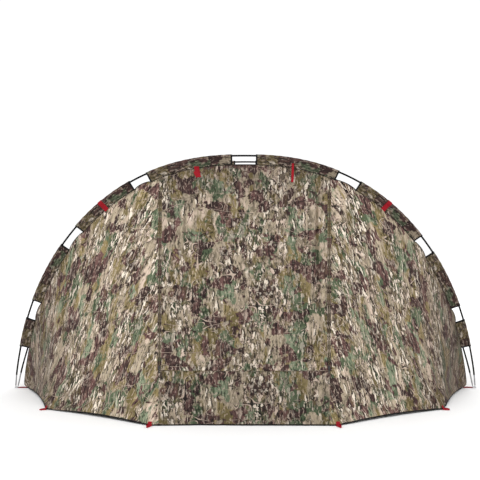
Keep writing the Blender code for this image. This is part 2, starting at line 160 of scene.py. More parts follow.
front_hoop = Hoop(HOOP_HALF, HOOP_RISE, FRONT_LEAN)
rear_hoop = Hoop(HOOP_HALF - NEST, HOOP_RISE - NEST, REAR_LEAN)
front_seam = Hoop(HOOP_HALF, HOOP_RISE, FRONT_LEAN, SEAM_DEPTH)
rear_seam = Hoop(HOOP_HALF - NEST, HOOP_RISE - NEST, REAR_LEAN, SEAM_DEPTH)
front_seam.bow(front_hoop, [g for g in FRONT_GAPS if abs(g[0]) > 0.1], 0.011)
rear_seam.bow(rear_hoop, [g for g in REAR_GAPS if abs(g[0]) > 0.1], 0.011)
ARCH_SHARE = 2 * front_seam.by_x(DOOR_ARCH_X) / front_seam.length - 1


def seam_point(a):
    a = np.asarray(a, float)
    side, m = np.sign(a) + (a == 0), np.abs(a)
    inner = front_seam.by_x(side * DOOR_ARCH_X * m / PEG_SHARE)
    s = np.interp(m, (PEG_SHARE, 0.72, 1.0), (ARCH_SHARE, PEG_ARCH, 1.0))
    outer = front_seam.length * (side * s + 1) / 2
    return front_seam.at(np.where(m <= PEG_SHARE, inner, outer))


def hem_point(a):
    a = np.asarray(a, float)
    side, m = np.sign(a) + (a == 0), np.abs(a)
    x = np.interp(m, (0, PEG_SHARE, 0.72, 1.0), (0, DOOR_PEG_X, OUTER_PEG[0], CORNER_X))
    y = np.interp(m, (0, PEG_SHARE, 0.72, 1.0), (INNER_PEG[1], INNER_PEG[1], OUTER_PEG[1], 0))
    f1 = np.clip((m - PEG_SHARE) / (0.72 - PEG_SHARE), 0, 1)
    f2 = np.clip((m - 0.72) / 0.28, 0, 1)
    f0 = np.clip((m + PEG_SHARE) / (2 * PEG_SHARE), 0, 1)
    r0, r1, r2 = 4 * f0 * (1 - f0), 4 * f1 * (1 - f1), 4 * f2 * (1 - f2)
    y = y + 0.003 * r0 + 0.020 * r1 + 0.038 * r2
    z = HEM_Z - 0.003 + 0.001 * r0 + 0.010 * r1 + 0.012 * r2
    return np.stack((side * x, FOOT_Y + y, z), -1)


def front_wall(a, b):
    top, low = seam_point(a), hem_point(a)
    return top + (low - top) * np.asarray(b, float)[..., None]


def b_of_z(a, z):
    top, low = seam_point(a), hem_point(a)
    return (top[..., 2] - z) / (top[..., 2] - low[..., 2])


def rear_hem(a):
    angle = np.radians(90) * (1 - np.abs(a))
    side = np.sign(a) + (np.asarray(a) == 0)
    n = np.abs(np.sin(angle * 2.5))            # the pull between the pegs
    return np.stack((side * CORNER_X * np.cos(angle), FOOT_Y + (REAR_DEPTH - 0.010 * n) * np.sin(angle),
                     HEM_Z - 0.003 + 0.004 * n), -1)


def rear_wall(a, b):
    top, low = rear_seam.share(a), rear_hem(a)
    return top + (low - top) * np.asarray(b, float)[..., None]


def roof(a, b):
    front, back = front_seam.share(a), rear_seam.share(a)
    return front + (back - front) * np.asarray(b, float)[..., None]


def normals_of(P):
    """Unit normals of a grid of points, away from the inside of the blind."""
    du, dv = np.gradient(P, axis=1), np.gradient(P, axis=0)
    n = unit(np.cross(du, dv))
    out = ((P - INSIDE) * n).sum(-1)
    return n * (1.0 if out.sum() > 0 else -1.0)


# ------------------------------------------------------------------ meshes
def new_object(name, verts, faces, materials, smooth_on=True, uv=None, index=None):
    mesh = bpy.data.meshes.new(name)
    mesh.from_pydata([tuple(map(float, v)) for v in verts], [], faces)
    for m in materials:
        mesh.materials.append(m)
    if uv is not None:
        layer = mesh.uv_layers.new(name="cloth")
        loops = np.empty(len(mesh.loops), int)
        mesh.loops.foreach_get("vertex_index", loops)
        layer.data.foreach_set("uv", np.asarray(uv, np.float32)[loops].reshape(-1))
    if index is not None:
        mesh.polygons.foreach_set("material_index", np.asarray(index, np.int32))
    mesh.validate()
    if smooth_on:
        mesh.shade_smooth()
    obj = bpy.data.objects.new(name, mesh)
    scene.collection.objects.link(obj)
    return obj


def grid_faces(rows, cols, keep=None, flip=False):
    found = []
    for i in range(rows - 1):
        for j in range(cols - 1):
            if keep is not None and not keep[i, j]:
                continue
            q = (i * cols + j, i * cols + j + 1, (i + 1) * cols + j + 1, (i + 1) * cols + j)
            found.append(q[::-1] if flip else q)
    return found


def cloth(name, P, uv, materials, thickness=0.0009, keep=None, index=None):
    """A sheet on a grid of points; its thickness comes from Solidify. The first
    material shows outside and the second inside."""
    rows, cols = P.shape[:2]
    du, dv = P[rows // 2, cols // 2 + 1] - P[rows // 2, cols // 2], P[rows // 2 + 1, cols // 2] - P[rows // 2, cols // 2]
    flip = np.dot(np.cross(du, dv), P[rows // 2, cols // 2] - INSIDE) < 0
    obj = new_object(name, P.reshape(-1, 3), grid_faces(rows, cols, keep, flip), materials,
                     uv=uv.reshape(-1, 2), index=index)
    solid = obj.modifiers.new("thickness", "SOLIDIFY")
    solid.thickness = thickness
    solid.offset = 0.0
    solid.use_even_offset = False
    if len(materials) > 1:
        solid.material_offset = 1
        solid.material_offset_rim = 0
    return obj


def sweep(name, sections, materials, closed_ends=True, uv_scale=1.0, smooth_on=True):
    """A closed body from a run of equal closed loops, shape (n, k, 3)."""
    S = np.asarray(sections, float)
    n, k = S.shape[:2]
    faces = []
    for i in range(n - 1):
        for j in range(k):
            faces.append((i * k + j, i * k + (j + 1) % k, (i + 1) * k + (j + 1) % k, (i + 1) * k + j))
    if closed_ends:
        faces.append(tuple(range(k))[::-1])
        faces.append(tuple((n - 1) * k + j for j in range(k)))
    along = np.concatenate(([0], np.cumsum(np.linalg.norm(np.diff(S.mean(1), axis=0), axis=1))))
    around = np.concatenate(([0], np.cumsum(np.linalg.norm(np.diff(S[n // 2], axis=0), axis=1))))
    uv = np.stack(np.meshgrid(around, along), -1).reshape(-1, 2) * uv_scale
    obj = new_object(name, S.reshape(-1, 3), faces, materials, smooth_on, uv)
    bm = bmesh.new()
    bm.from_mesh(obj.data)
    bmesh.ops.recalc_face_normals(bm, faces=bm.faces)
    bm.to_mesh(obj.data)
    bm.free()
    if smooth_on:
        obj.data.set_sharp_from_angle(angle=math.radians(50))
    return obj


def tube(name, points, radius, materials, sides=12, uv_scale=1.0):
    """A round bar along points; radius is one number or one for each point."""
    P = np.asarray(points, float)
    r = np.broadcast_to(np.asarray(radius, float), (len(P),))
    run = unit(np.gradient(P, axis=0))
    side = np.cross(run[0], (0.3, 1.0, 0.2))
    frames = []
    for t in run:
        side = unit(side - t * np.dot(side, t))
        frames.append((side, np.cross(t, side)))
    angle = 2 * np.pi * np.arange(sides) / sides
    S = np.array([p + q * (np.cos(angle)[:, None] * a + np.sin(angle)[:, None] * b)
                  for p, q, (a, b) in zip(P, r, frames)])
    return sweep(name, S, materials, uv_scale=uv_scale)


def ribbon(name, points, across, wide, thick, materials, rounded=True):
    """A flat tape along points; across is its width direction at each point."""
    P, X = np.asarray(points, float), unit(np.broadcast_to(across, np.shape(points)))
    run = unit(np.gradient(P, axis=0))
    X = unit(X - run * (X * run).sum(-1, keepdims=True))
    N = np.cross(run, X)
    w = np.broadcast_to(np.asarray(wide, float), (len(P),))[:, None, None]
    edge = (-0.5, -0.47, -0.25, 0, 0.25, 0.47, 0.5)
    lift = (0.0, 0.42, 0.5, 0.5, 0.5, 0.42, 0.0)
    loop = [(e, l) for e, l in zip(edge, lift)] + [(e, -l) for e, l in list(zip(edge, lift))[-2:0:-1]]
    loop = np.array(loop)
    S = P[:, None] + w * loop[None, :, :1] * X[:, None] + thick * loop[None, :, 1:] * N[:, None]
    return sweep(name, S, materials)


# ------------------------------------------------------------------ materials
class Tree:
    """A short way to write shader nodes."""

    def __init__(self, name):
        self.material = bpy.data.materials.new(name)
        self.material.use_nodes = True
        self.nt = self.material.node_tree
        self.shader = self.nt.nodes["Principled BSDF"]

    def link(self, a, b):
        self.nt.links.new(a, b)
        return self

    def put(self, socket, value):
        if isinstance(value, bpy.types.NodeSocket):
            self.nt.links.new(value, socket)
        else:
            socket.default_value = value

    def node(self, kind, out=0, **inputs):
        n = self.nt.nodes.new(kind)
        for key, value in inputs.items():
            if key.startswith("_"):
                setattr(n, key[1:], value)
            else:
                self.put(n.inputs[key.replace("__", " ")], value)
        return n.outputs[out]

    def math(self, op, a, b=0.0, clamp=False):
        n = self.nt.nodes.new("ShaderNodeMath")
        n.operation, n.use_clamp = op, clamp
        self.put(n.inputs[0], a)
        self.put(n.inputs[1], b)
        return n.outputs[0]

    def uv(self, scale=(1, 1), turn=0.0, move=(0, 0)):
        n = self.nt.nodes.new("ShaderNodeUVMap")
        n.uv_map = "cloth"
        m = self.nt.nodes.new("ShaderNodeMapping")
        self.nt.links.new(n.outputs[0], m.inputs["Vector"])
        m.inputs["Scale"].default_value = (*scale, 1)
        m.inputs["Rotation"].default_value = (0, 0, turn)
        m.inputs["Location"].default_value = (*move, 0)
        return m.outputs[0]

    def mapped(self, vector, scale, move=(0, 0, 0)):
        m = self.nt.nodes.new("ShaderNodeMapping")
        self.nt.links.new(vector, m.inputs["Vector"])
        m.inputs["Scale"].default_value = scale
        m.inputs["Location"].default_value = move
        return m.outputs[0]

    def noise(self, vector, scale, detail=2.0, rough=0.55, distortion=0.0, out="Fac"):
        n = self.nt.nodes.new("ShaderNodeTexNoise")
        n.noise_dimensions = "2D"
        self.put(n.inputs["Vector"], vector)
        n.inputs["Scale"].default_value = scale
        n.inputs["Detail"].default_value = detail
        n.inputs["Roughness"].default_value = rough
        n.inputs["Distortion"].default_value = distortion
        return n.outputs[out]

    def step(self, value, low, high):
        n = self.nt.nodes.new("ShaderNodeMapRange")
        n.interpolation_type = "SMOOTHSTEP"
        self.put(n.inputs["Value"], value)
        n.inputs["From Min"].default_value = low
        n.inputs["From Max"].default_value = high
        n.inputs["To Min"].default_value = 0.0
        n.inputs["To Max"].default_value = 1.0
        return n.outputs[0]

    def mix(self, factor, a, b, mode="MIX"):
        n = self.nt.nodes.new("ShaderNodeMix")
        n.data_type, n.blend_type = "RGBA", mode
        self.put(n.inputs[0], factor)
        for socket, value in ((n.inputs[6], a), (n.inputs[7], b)):
            self.put(socket, value if isinstance(value, bpy.types.NodeSocket) else (*value, 1.0))
        return n.outputs[2]

    def bump(self, height, strength=0.3, distance=0.001, normal=None):
        n = self.nt.nodes.new("ShaderNodeBump")
        n.inputs["Strength"].default_value = strength
        n.inputs["Distance"].default_value = distance
        self.put(n.inputs["Height"], height)
        if normal is not None:
            self.put(n.inputs["Normal"], normal)
        return n.outputs[0]

    def done(self, colour=None, rough=None, metallic=0.0, normal=None, sheen=None, spec=None):
        if colour is not None:
            self.put(self.shader.inputs["Base Color"],
                     colour if isinstance(colour, bpy.types.NodeSocket) else (*colour, 1.0))
        if rough is not None:
            self.put(self.shader.inputs["Roughness"], rough)
        self.shader.inputs["Metallic"].default_value = metallic
        if normal is not None:
            self.put(self.shader.inputs["Normal"], normal)
        if sheen is not None:
            self.shader.inputs["Sheen Weight"].default_value = sheen
            self.shader.inputs["Sheen Roughness"].default_value = 0.5
        if spec is not None:
            self.shader.inputs["Specular IOR Level"].default_value = spec
        return self.material


def srgb(r, g, b, gain=1.0):
    def one(c):
        c /= 255
        return min(1.0, gain * (c / 12.92 if c <= 0.04045 else ((c + 0.055) / 1.055) ** 2.4))
    return one(r), one(g), one(b)


def weave(t, pitch=0.0016):
    """Height of a plain weave from the cloth's own coordinates."""
    vector = t.uv()
    heights = []
    for direction in ("X", "Y"):
        n = t.nt.nodes.new("ShaderNodeTexWave")
        n.wave_type, n.bands_direction = "BANDS", direction
        t.put(n.inputs["Vector"], vector)
        n.inputs["Scale"].default_value = 1 / pitch / 3.2
        n.inputs["Distortion"].default_value = 0.0
        n.inputs["Detail"].default_value = 0.0
        heights.append(n.outputs["Fac"])
    return t.math("MULTIPLY", heights[0], heights[1])


def camo(name, turn=0.0, move=(0.0, 0.0), gain=1.0, dark=0.0, edge=0.0, top=0.0):
    """Generic woodland camouflage print: khaki trunks and grey-beige ground, soft
    sage blots, ragged red-brown blots that lie across, upright bands of bark whose
    pale flecks have dark rims, and a few thin twigs. turn leans the print."""
    t = Tree(name)
    base = t.uv(turn=turn, move=move)

    def warped(scale, amount, start=base):
        n = t.nt.nodes.new("ShaderNodeVectorMath")
        n.operation = "MULTIPLY_ADD"
        t.put(n.inputs[0], t.noise(base, scale, 2.0, 0.55, out="Color"))
        n.inputs[1].default_value = (*amount, 0.0)
        t.put(n.inputs[2], start)
        return n.outputs[0]

    broad = warped(7.0, (0.055, 0.070))
    close = warped(30.0, (0.012, 0.016), warped(6.0, (0.02, 0.02)))

    def field(p, scale, stretch, seed, detail=5.0, rough=0.60):
        v = t.mapped(p, (1.0, stretch, 1.0), (seed * 3.17 + 0.5, seed * 1.91 + 0.3, 0))
        return t.noise(v, scale, detail, rough)

    def patches(p, scale, stretch, where, edge, seed, detail=5.0, rough=0.60):
        return t.step(field(p, scale, stretch, seed, detail, rough), where - edge, where + edge)

    g = gain
    taupe, beige = srgb(120, 108, 91, g), srgb(180, 165, 141, g)
    khaki, olive = srgb(143, 127, 88, g), srgb(106, 94, 60, g)
    sage, moss = srgb(132, 142, 116, g), srgb(78, 90, 66, g)
    maroon, umber = srgb(110, 80, 75, g), srgb(56, 41, 38, g)
    pink, pale = srgb(212, 190, 172, g), srgb(240, 226, 207, g)
    bark = srgb(14, 11, 10, g)

    streak = field(close, 40.0, 0.22, 21, 3.0, 0.65)
    shade = field(broad, 9.0, 0.40, 22, 3.0, 0.55)
    c = t.mix(t.step(streak, 0.30, 0.66), taupe, beige)
    # pale ground showing through, soft at its edge
    c = t.mix(t.math("MULTIPLY", patches(broad, 8.0, 0.50, 0.575, 0.035, 4, 4.0, 0.55), 0.85), c,
              t.mix(t.step(streak, 0.36, 0.62), beige, pink))
    # khaki trunks
    trunk = patches(broad, 7.4, 0.38, 0.538, 0.022, 1, 4.0, 0.52)
    c = t.mix(trunk, c, t.mix(t.step(shade, 0.34, 0.56), olive, t.mix(t.step(streak, 0.30, 0.55), olive, khaki)))
    # sage and moss
    leaf = patches(broad, 9.0, 0.70, 0.550, 0.026, 2, 4.0, 0.52)
    c = t.mix(leaf, c, t.mix(t.step(shade, 0.40, 0.62), moss, t.mix(t.step(streak, 0.32, 0.54), moss, sage)))
    # red-brown blots lying across
    blot = patches(broad, 6.0, 1.25, 0.566, 0.012, 3, 5.0, 0.58)
    c = t.mix(blot, c, t.mix(t.step(shade, 0.34, 0.58), umber, t.mix(t.step(streak, 0.36, 0.62), umber, maroon)))
    calm = t.math("MULTIPLY", t.math("SUBTRACT", 1.0, t.math("MULTIPLY", trunk, 0.64)),
                  t.math("SUBTRACT", 1.0, t.math("MULTIPLY", blot, 0.45)))
    c = t.mix(patches(broad, 11.0, 0.85, 0.612, 0.014, 16, 5.0, 0.58), c, t.mix(t.step(streak, 0.40, 0.64), umber, maroon))

    # bark: in upright bands, pale flecks with a dark rim on broken brown
    band = t.math("MULTIPLY", patches(broad, 7.4, 0.30, 0.500, 0.035, 7, 2.0, 0.50), calm)
    under = t.math("MULTIPLY", band, t.step(field(close, 26.0, 0.40, 23, 3.0, 0.6), 0.47, 0.53))
    c = t.mix(t.math("MULTIPLY", under, 0.75), c, t.mix(t.step(streak, 0.40, 0.60), umber, olive))
    fleck = field(close, 45.0, 0.48, 9, 3.0, 0.62)
    rim = t.math("MULTIPLY", t.step(fleck, 0.520, 0.538), band)
    c = t.mix(t.math("MULTIPLY", rim, 0.92), c, bark)
    heart = t.math("MULTIPLY", t.step(fleck, 0.570, 0.588), band)
    c = t.mix(t.math("MULTIPLY", heart, 0.97), c, t.mix(t.step(shade, 0.40, 0.62), pale, pink))
    # fine cracks and chips everywhere
    crack = field(close, 92.0, 0.38, 30, 2.0, 0.60)
    where = patches(broad, 10.0, 0.60, 0.42, 0.060, 24, 2.0)
    c = t.mix(t.math("MULTIPLY", t.math("MULTIPLY", t.step(crack, 0.592, 0.610), where), 0.72), c, bark)
    c = t.mix(t.math("MULTIPLY", t.math("SUBTRACT", 1.0, t.step(crack, 0.362, 0.380)), 0.50), c, pink)
    # single marks outside the bands
    sparse = t.math("MULTIPLY", patches(broad, 8.0, 0.60, 0.525, 0.050, 8, 3.0), calm)
    mark = field(close, 48.0, 0.34, 10, 2.0, 0.60)
    c = t.mix(t.math("MULTIPLY", t.math("MULTIPLY", t.step(mark, 0.590, 0.615), sparse), 0.85), c, bark)
    beside = t.mapped(close, (1, 1, 1), (0.0075, 0.005, 0))
    mark = field(beside, 48.0, 0.34, 10, 2.0, 0.60)
    c = t.mix(t.math("MULTIPLY", t.math("MULTIPLY", t.step(mark, 0.606, 0.628), sparse), 0.92), c, pale)

    # twigs: a dark line with a pale edge, where a stretched noise crosses its middle
    for k, (sx, sy, scale, low) in enumerate(((1.0, 0.22, 9.0, 0.54), (0.30, 1.0, 9.0, 0.53), (0.42, 0.9, 14.0, 0.55))):
        v = t.mapped(base, (sx, sy, 1.0), (7.7 + k, 3.3 - k, 0))
        n = t.noise(v, scale, 0.0, 0.5)
        where = patches(close, 8.0, 0.8, low, 0.02, 12 + k, 3.0)
        for level, colour, half, much in ((0.492, pink, 0.007, 0.80), (0.5, bark, 0.006, 0.90)):
            line = t.math("ABSOLUTE", t.math("SUBTRACT", n, level))
            thin = t.math("SUBTRACT", 1.0, t.step(line, half * 0.4, half))
            c = t.mix(t.math("MULTIPLY", t.math("MULTIPLY", thin, where), much), c, colour)
    if edge:
        # darker towards the legs: matched to the photo's darker side edges
        across = t.nt.nodes.new("ShaderNodeSeparateXYZ")
        t.put(across.inputs[0], t.uv())
        # painted shade: the side panels are darkened toward umber near their outer edges, where they turn away from the
        # light
        c = t.mix(t.math("MULTIPLY", t.step(across.outputs[0], -0.30, 0.42), edge), c, umber)
    if top:
        # darker along the arch: matched to the photo's darker top
        across = t.nt.nodes.new("ShaderNodeSeparateXYZ")
        t.put(across.inputs[0], t.uv())
        # painted shade: the print is darkened toward umber near the top of the wall, along the arch
        c = t.mix(t.math("MULTIPLY", t.step(across.outputs[1], -0.34, -0.02), top), c, umber)
    if dark:
        # painted shade: dark mixes the whole print evenly toward umber, to stand in for shade
        c = t.mix(dark, c, umber)
    height = weave(t)
    rough = t.math("ADD", 0.74, t.math("MULTIPLY", t.noise(base, 30.0, 2.0), 0.2))
    return t.done(c, rough, normal=t.bump(height, 0.25, 0.0003), spec=0.22)


def coated(name):
    """The inside of the cloth: a dull coating with the print ghosting through."""
    t = Tree(name)
    base = t.uv()
    c = t.mix(t.noise(t.mapped(base, (1, 0.5, 1)), 11.0, 4.0, 0.6), srgb(66, 64, 52), srgb(96, 92, 74))
    rough = t.math("ADD", 0.55, t.math("MULTIPLY", t.noise(base, 40.0, 2.0), 0.2))
    return t.done(c, rough, normal=t.bump(weave(t), 0.15, 0.0003), spec=0.4)


def webbing(name, colour, dark, pitch=0.0022):
    t = Tree(name)
    vector = t.uv()
    n = t.nt.nodes.new("ShaderNodeTexWave")
    n.wave_type, n.bands_direction = "BANDS", "DIAGONAL"
    t.put(n.inputs["Vector"], vector)
    n.inputs["Scale"].default_value = 1 / pitch / 6.3
    n.inputs["Distortion"].default_value = 0.6
    n.inputs["Detail Scale"].default_value = 3.0
    rib = n.outputs["Fac"]
    worn = t.noise(vector, 45.0, 3.0, 0.6)
    c = t.mix(rib, dark, colour)
    c = t.mix(t.math("MULTIPLY", worn, 0.35), c, dark)
    return t.done(c, 0.75, normal=t.bump(rib, 0.5, 0.0005), spec=0.2)


def plain(name, colour, other, rough, metallic=0.0, scale=60.0, strength=0.1, stretch=(1, 1, 1), spec=0.25):
    """Moulded, drawn or painted surfaces: two near colours, uneven gloss."""
    t = Tree(name)
    coord = t.nt.nodes.new("ShaderNodeTexCoord").outputs["Object"]
    m = t.mapped(coord, stretch)
    n = t.nt.nodes.new("ShaderNodeTexNoise")
    t.put(n.inputs["Vector"], m)
    n.inputs["Scale"].default_value = scale
    n.inputs["Detail"].default_value = 3.0
    c = t.mix(n.outputs["Fac"], colour, other)
    r = t.math("ADD", rough - 0.08, t.math("MULTIPLY", n.outputs["Fac"], 0.16))
    return t.done(c, r, metallic, t.bump(n.outputs["Fac"], strength, 0.0004), spec=spec)


GAIN = 0.78
# brighter and darker copies of one print: the gains of centre, sides and sill are partly the print's own tone and
# partly painted light and shade; top on the centre and the last number on the sides add painted shade along the arch
# and towards the legs
CENTRE = camo("camo_centre", 0.0, (0.0, 0.0), GAIN * 1.00, top=0.24)
LEFT = camo("camo_left", math.radians(-24), (3.1, 1.2), GAIN * 1.30, 0.0, 0.46)
RIGHT = camo("camo_right", math.radians(-24), (6.4, 2.3), GAIN * 1.19, 0.0, 0.58)
SILL = camo("camo_sill", 0.0, (0.03, 0.55), GAIN * 0.84)
ROOF = camo("camo_roof", 0.0, (9.3, 4.1), GAIN)
BACK = camo("camo_back", 0.0, (12.7, 7.9), GAIN)
# painted shade: the sleeves get a darker copy of the print, through a lower gain and dark 0.14
SLEEVE = camo("camo_sleeve", math.radians(90), (15.1, 3.7), GAIN * 0.74, 0.14)
INSIDE_MAT = coated("cloth_inside")
BINDING = webbing("hem_binding", srgb(24, 22, 20), srgb(10, 9, 9))
PIPING = webbing("seam_piping", srgb(40, 34, 26), srgb(18, 15, 12))
RED = webbing("red_webbing", srgb(176, 18, 34), srgb(112, 10, 22))
POLE = plain("pole_black", (0.002, 0.002, 0.002), (0.005, 0.005, 0.006), 0.55, 0.0, 200.0, 0.05, spec=0.08)
STEEL = plain("tip_metal", (0.30, 0.30, 0.32), (0.46, 0.46, 0.48), 0.34, 1.0, 260.0, 0.08, (1, 1, 0.15))
ZIPPER = plain("zip_teeth", srgb(96, 84, 58), srgb(66, 58, 42), 0.55, 0.0, 300.0, 0.1)
SLIDER = plain("slider_metal", (0.03, 0.03, 0.03), (0.07, 0.07, 0.07), 0.42, 0.7, 240.0, 0.15)

# ------------------------------------------------------------------ camera
camera_data = bpy.data.cameras.new("camera")
camera = bpy.data.objects.new("camera", camera_data)
scene.collection.objects.link(camera)
scene.camera = camera
camera_data.sensor_width = 36.0
camera_data.lens = 36.0 * 843 / 480
camera.location = (0.046, FOOT_Y - 5.5, 1.235)
camera.rotation_euler = (math.radians(90 - 2.72), 0, 0)
camera_data.shift_x = -0.0258

# ------------------------------------------------------------------ wrinkles
n1, n2, n3, n4 = Noise2(11), Noise2(23), Noise2(37), Noise2(51)


def edge_fade(P, sides, reach):
    """0 on the named sides of the grid, 1 from reach metres in."""
    rows, cols = P.shape[:2]
    fade = np.ones((rows, cols))
    down = np.concatenate((np.zeros((1, cols)), np.cumsum(np.linalg.norm(np.diff(P, axis=0), axis=-1), 0)))
    over = np.concatenate((np.zeros((rows, 1)), np.cumsum(np.linalg.norm(np.diff(P, axis=1), axis=-1), 1)), 1)
    if "top" in sides:
        fade = fade * smooth(down, 0, reach)
    if "bottom" in sides:
        fade = fade * smooth(down[-1:] - down, 0, reach)
    if "left" in sides:
        fade = fade * smooth(over, 0, reach)
    if "right" in sides:
        fade = fade * smooth(over[:, -1:] - over, 0, reach)
    return fade


def rays(P, centre, away, amount, count, reach, phase=0.0):
    """Tension folds that spread from a pulled point."""
    d = P - np.asarray(centre, float)
    r = np.linalg.norm(d, axis=-1)
    x = unit(np.cross(away, (0.0, -1.0, 0.3)))
    angle = np.arctan2((d * x).sum(-1), (d * unit(away)).sum(-1))
    wave = np.cos(angle * count + phase + 0.7 * np.sin(angle * 3.1 + phase))
    return amount * wave * np.exp(-r / reach) * smooth(r, 0.01, 0.10)


def uv_of(P, u0=0.0):
    """Cloth coordinates in metres: x along the rows, y down the columns."""
    rows, cols = P.shape[:2]
    middle = np.linalg.norm(np.diff(P, axis=1), axis=-1).mean(0)
    u = np.concatenate(([0], np.cumsum(middle)))
    u = u - u[cols // 2] + u0
    v = np.concatenate((np.zeros((1, cols)), np.cumsum(np.linalg.norm(np.diff(P, axis=0), axis=-1), 0)))
    return np.stack((np.broadcast_to(u, (rows, cols)), -v), -1)


def binding(name, P, body, materials, high=0.0060, thick=0.0022, out=0.0006):
    """Tape folded round the bottom edge of a cloth grid."""
    low, above = P[-1], P[-3]
    up = unit(above - low)
    N = normals_of(P)[-1]
    S = np.stack((low + N * thick / 2 + up * high, low + N * thick / 2 - up * 0.0,
                  low + N * thick / 4 - up * out, low - N * thick / 4 - up * out,
                  low - N * thick / 2 - up * 0.0, low - N * thick / 2 + up * high), 1)
    S[..., 2] = np.maximum(S[..., 2], 0.0004)
    obj = sweep(name, S, materials)
    if body:
        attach(obj, body)
    return obj


# ------------------------------------------------------------------ front wall
unit_a = DOOR_PEG_X / PEG_SHARE
zip_a = PEG_SHARE * ZIP_SHARE
panel_edge = zip_a + (ZIP_WIDTH / 2 - 0.002) / unit_a
door_edge = zip_a - (ZIP_WIDTH / 2 - 0.002) / unit_a


def side_panel(side):
    word = "left" if side < 0 else "right"
    m = np.concatenate((np.linspace(panel_edge, 0.72, 62), np.linspace(0.72, 0.994, 46)[1:]))
    a = side * m
    b = np.linspace(0.0, 1.0, 96)
    A, B = np.meshgrid(a, b)
    P = front_wall(A, B)
    # the cloth turns round the outer peg's line in a soft bend, not a crease
    Q = P.copy()
    for _ in range(48):
        Q[:, 1:-1] = (Q[:, :-2] + 2 * Q[:, 1:-1] + Q[:, 2:]) / 4
    bend = np.exp(-((m - 0.72) / 0.07) ** 2)[None] * smooth(B, 0, 0.08) * smooth(1 - B, 0, 0.12)
    P = P + (Q - P) * bend[..., None]
    N = normals_of(P)
    X, Z = P[..., 0], P[..., 2]
    fade = edge_fade(P, ("top", "left", "right"), 0.06)
    soft = np.sin(np.pi * np.clip(B, 0, 1))
    ripples = (0.0075 * n1(X * 3.1 + 5, Z * 1.7) + 0.0030 * n2(X * 9 + 3 * Z, Z * 3.1)
               + 0.0016 * n3(X * 21 - 4 * Z, Z * 6.0))
    pegs = (rays(P, (side * INNER_PEG[0], FOOT_Y + INNER_PEG[1], HEM_Z), (side * 0.3, 0.2, 1.0), 0.0110, 11, 0.34)
            + rays(P, (side * OUTER_PEG[0], FOOT_Y + OUTER_PEG[1], HEM_Z), (-side * 0.1, 0.3, 1.0), 0.0110, 12, 0.36, 1.1)
            + rays(P, (side * CORNER_X, FOOT_Y, 0.0), (-side * 0.5, 0.0, 1.0), 0.0070, 13, 0.26, 0.4))
    seam = 0.0016 * np.sin(np.arange(P.shape[1])[None] * 1.7) * np.exp(-B * 22) * smooth(B, 0, 0.01)
    shape = -0.016 * soft * smooth(np.abs(A), PEG_SHARE, 0.6) * smooth(-np.abs(A), -1.0, -0.8)
    hold = smooth(1 - B, 0.0, 0.05) * 0.8 + 0.2
    P = P + N * ((ripples * fade * hold + pegs * fade + seam + shape * fade)[..., None])
    P[..., 2] = np.maximum(P[..., 2], 0.0012)
    obj = cloth(f"front_{word}_cloth", P, uv_of(P, 0.0), [LEFT if side < 0 else RIGHT, INSIDE_MAT])
    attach(obj, "front_frame")
    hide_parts(f"front_{word}_panel")
    tape = binding(f"front_{word}_hem_binding", P, "front_frame", [BINDING])
    return P


left_P, right_P = side_panel(-1), side_panel(1)


def centre_points(a_low, a_high, z_low, z_high, cols, rows, top=False, bottom=False):
    a = np.linspace(a_low, a_high, cols)
    if cols > 20:
        close = np.linspace(0.78, 0.97, 56) * a_high
        a = np.unique(np.concatenate((a, close)).round(6))
        cols = len(a)
    A = np.broadcast_to(a, (rows, cols))
    b0 = np.zeros(cols) if top else b_of_z(a, np.full(cols, z_high))
    b1 = np.ones(cols) if bottom else b_of_z(a, np.full(cols, z_low))
    B = b0[None] + (b1 - b0)[None] * np.linspace(0, 1, rows)[:, None]
    return A, B, front_wall(A, B)


def centre_relief(P, fade):
    """The whole centre strip shares one relief, so that header, door and sill
    run into each other."""
    X, Z = P[..., 0], P[..., 2]
    folds = (0.0060 * n1(X * 4.3 + 11, Z * 0.9 + 3) + 0.0028 * n2(X * 12 + 2 * np.sin(Z * 3), Z * 1.6)
             + 0.0012 * n3(X * 26, Z * 4.0))
    drift = 0.010 * np.sin(Z * 5) - 0.006
    rise = smooth(Z, 0.42, 0.75) * (1 - smooth(Z, 1.18, 1.30))
    flap = 0.016 * np.exp(-((X - 0.408 - drift) / 0.022) ** 2) - 0.020 * np.exp(-((X - 0.440 - drift) / 0.0085) ** 2)
    flap = flap * rise
    flap += 0.008 * np.exp(-((X + 0.425 + drift) / 0.022) ** 2) * smooth(Z, 0.70, 1.0)
    waves = 0.0024 * np.sin(Z * 62 + 2.2 * n2(X * 3, Z * 2)) * (0.6 + 0.4 * n4(X * 5, Z * 3))
    return (folds + waves) * fade + flap * smooth(fade, 0.0, 0.35)


def centre_uv(P):
    """The print runs on over header, door and sill, in x and in height."""
    slope = 1 / 0.9441
    return np.stack((P[..., 0], (P[..., 2] - 1.45) * slope), -1)


def centre_fade(A, B):
    """0 at the zips and at the arch seam, 1 from 5 cm in."""
    width = DOOR_PEG_X * ZIP_SHARE * (1 - np.abs(A) / zip_a)
    return smooth(width, 0.004, 0.060) * smooth(B * 1.5, 0.0, 0.05)


A, B, header_P = centre_points(-panel_edge, panel_edge, DOOR_TOP, None, 90, 14, top=True)
header_P = header_P + normals_of(header_P) * centre_relief(header_P, centre_fade(A, B))[..., None]
header = cloth("door_header_cloth", header_P, centre_uv(header_P), [CENTRE, INSIDE_MAT])
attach(header, "front_frame")
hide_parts("door_header")

A, B, door_P = centre_points(-door_edge, door_edge, SILL_TOP + 0.024, DOOR_TOP - 0.0004, 110, 96)
door_P = door_P + normals_of(door_P) * centre_relief(door_P, centre_fade(A, B))[..., None]
door = cloth("door_cloth", door_P, centre_uv(door_P), [CENTRE, INSIDE_MAT])

